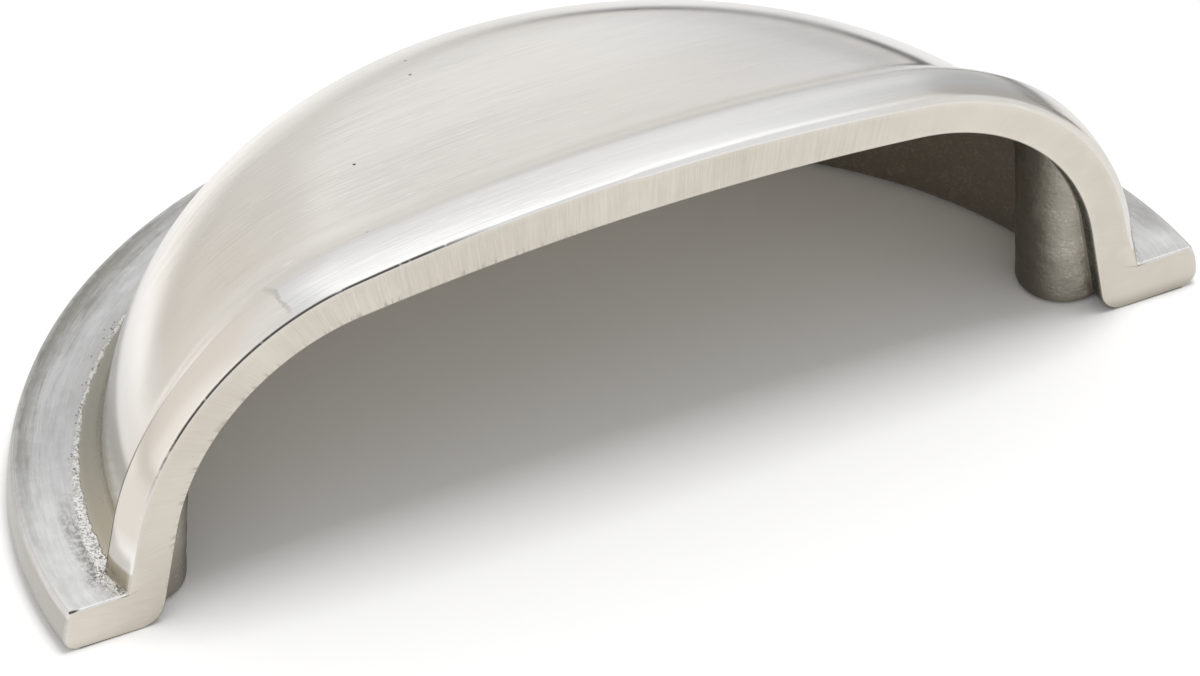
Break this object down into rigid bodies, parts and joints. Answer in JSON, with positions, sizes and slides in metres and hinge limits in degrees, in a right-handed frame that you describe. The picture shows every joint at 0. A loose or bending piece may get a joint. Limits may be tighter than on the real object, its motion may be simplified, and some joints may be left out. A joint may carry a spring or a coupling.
{
  "type": "cabinet cup pull",
  "caption": "Half-round cup pull cast in one piece, with a flat mounting flange, a flared front lip and tapped screw bosses inside.",
  "frame": {"origin": "midway between the two screw holes, on the mounting face that lies against the drawer front", "axes": "+X along the pull through both screw holes, +Z away from the drawer front towards the crown of the cup, the mouth of the cup looks along -Y"},
  "size_m": [0.093, 0.043, 0.0272],
  "materials": {
    "satin_nickel": "brushed satin nickel plate over a casting"
  },
  "bodies": {
    "root": {"cup_pull": "satin_nickel"}
  },
  "joints": []
}
